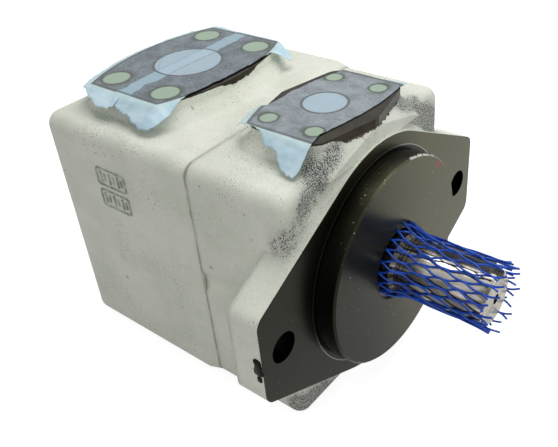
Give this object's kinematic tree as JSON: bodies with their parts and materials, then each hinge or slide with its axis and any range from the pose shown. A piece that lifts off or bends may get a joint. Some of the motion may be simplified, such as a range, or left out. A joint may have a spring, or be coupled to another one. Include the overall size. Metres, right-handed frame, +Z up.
{
  "type": "hydraulic vane pump",
  "caption": "Flange-mounted hydraulic vane pump with a keyed drive shaft, two flanged ports on top and an internal vane cartridge.",
  "frame": {"origin": "centre of the pilot circle in the mounting flange's front face", "axes": "+X out along the drive shaft, +Y across the flange holes, +Z up towards the ports"},
  "size_m": [0.2753, 0.214, 0.1683],
  "materials": {
    "housing_paint": "satin",
    "shaft_steel": "satin",
    "key_steel": "satin",
    "bearing_steel": "polished",
    "cage_brass": "satin",
    "spring_steel": "satin",
    "seal_rubber": "matte",
    "ring_steel": "satin",
    "plate_iron": "satin",
    "bolt_steel": "satin",
    "vane_steel": "satin",
    "blue_tape": "matte",
    "blue_net": "satin"
  },
  "bodies": {
    "housing": {"front_body": "housing_paint", "rear_body": "housing_paint", "bearing_outer_race": "bearing_steel", "bearing_retaining_ring": "spring_steel", "seal_case": "spring_steel", "seal_lip": "seal_rubber", "cam_ring": "ring_steel", "front_side_plate": "plate_iron", "rear_side_plate": "plate_iron", "dowel_pins": "bearing_steel", "cartridge_screws": "bolt_steel", "rear_bush": "cage_brass", "joint_seal": "seal_rubber", "plate_seal": "seal_rubber", "body_bolts": "bolt_steel"},
    "shaft": {"drive_shaft": "shaft_steel", "shaft_key": "key_steel", "bearing_inner_race": "bearing_steel", "shaft_circlip": "spring_steel", "rotor": "ring_steel"},
    "bearing_cage_set": {"bearing_balls": "bearing_steel", "bearing_cage": "cage_brass"},
    "suction_cover": {"suction_tape": "blue_tape"},
    "discharge_cover": {"discharge_tape": "blue_tape"},
    "net": {"shaft_net": "blue_net"},
    "vane_01": {"vane_01": "vane_steel"},
    "vane_02": {"vane_02": "vane_steel"},
    "vane_03": {"vane_03": "vane_steel"},
    "vane_04": {"vane_04": "vane_steel"},
    "vane_05": {"vane_05": "vane_steel"},
    "vane_06": {"vane_06": "vane_steel"},
    "vane_07": {"vane_07": "vane_steel"},
    "vane_08": {"vane_08": "vane_steel"},
    "vane_09": {"vane_09": "vane_steel"},
    "vane_10": {"vane_10": "vane_steel"},
    "vane_11": {"vane_11": "vane_steel"},
    "vane_12": {"vane_12": "vane_steel"}
  },
  "joints": [
    {"name": "shaft_spin", "type": "hinge", "parent": "housing", "child": "shaft", "pos_m": [0, 0, 0], "axis": [1, 0, 0], "continuous": true},
    {"name": "cage_spin", "type": "hinge", "parent": "housing", "child": "bearing_cage_set", "pos_m": [0, 0, 0], "axis": [1, 0, 0], "continuous": true},
    {"name": "net_slide", "type": "slide", "parent": "shaft", "child": "net", "axis": [1, 0, 0], "range_m": [0, 0.09]},
    {"name": "suction_tape_lift", "type": "slide", "parent": "housing", "child": "suction_cover", "axis": [0, 0, 1], "range_m": [0, 0.06]},
    {"name": "discharge_tape_lift", "type": "slide", "parent": "housing", "child": "discharge_cover", "axis": [0, 0, 1], "range_m": [0, 0.06]},
    {"name": "vane_01_slide", "type": "slide", "parent": "shaft", "child": "vane_01", "axis": [0, 0.9659, 0.2588], "range_m": [0, 0.00033]},
    {"name": "vane_02_slide", "type": "slide", "parent": "shaft", "child": "vane_02", "axis": [0, 0.7071, 0.7071], "range_m": [0, 0.00262]},
    {"name": "vane_03_slide", "type": "slide", "parent": "shaft", "child": "vane_03", "axis": [0, 0.2588, 0.9659], "range_m": [0, 0.00532]},
    {"name": "vane_04_slide", "type": "slide", "parent": "shaft", "child": "vane_04", "axis": [0, -0.2588, 0.9659], "range_m": [0, 0.00532]},
    {"name": "vane_05_slide", "type": "slide", "parent": "shaft", "child": "vane_05", "axis": [0, -0.7071, 0.7071], "range_m": [0, 0.00262]},
    {"name": "vane_06_slide", "type": "slide", "parent": "shaft", "child": "vane_06", "axis": [0, -0.9659, 0.2588], "range_m": [0, 0.00033]},
    {"name": "vane_07_slide", "type": "slide", "parent": "shaft", "child": "vane_07", "axis": [0, -0.9659, -0.2588], "range_m": [0, 0.00033]},
    {"name": "vane_08_slide", "type": "slide", "parent": "shaft", "child": "vane_08", "axis": [0, -0.7071, -0.7071], "range_m": [0, 0.00262]},
    {"name": "vane_09_slide", "type": "slide", "parent": "shaft", "child": "vane_09", "axis": [0, -0.2588, -0.9659], "range_m": [0, 0.00532]},
    {"name": "vane_10_slide", "type": "slide", "parent": "shaft", "child": "vane_10", "axis": [0, 0.2588, -0.9659], "range_m": [0, 0.00532]},
    {"name": "vane_11_slide", "type": "slide", "parent": "shaft", "child": "vane_11", "axis": [0, 0.7071, -0.7071], "range_m": [0, 0.00262]},
    {"name": "vane_12_slide", "type": "slide", "parent": "shaft", "child": "vane_12", "axis": [0, 0.9659, -0.2588], "range_m": [0, 0.00033]}
  ],
  "couplings": [
    {"joint": "cage_spin", "follows": "shaft_spin", "ratio": 0.4008}
  ]
}
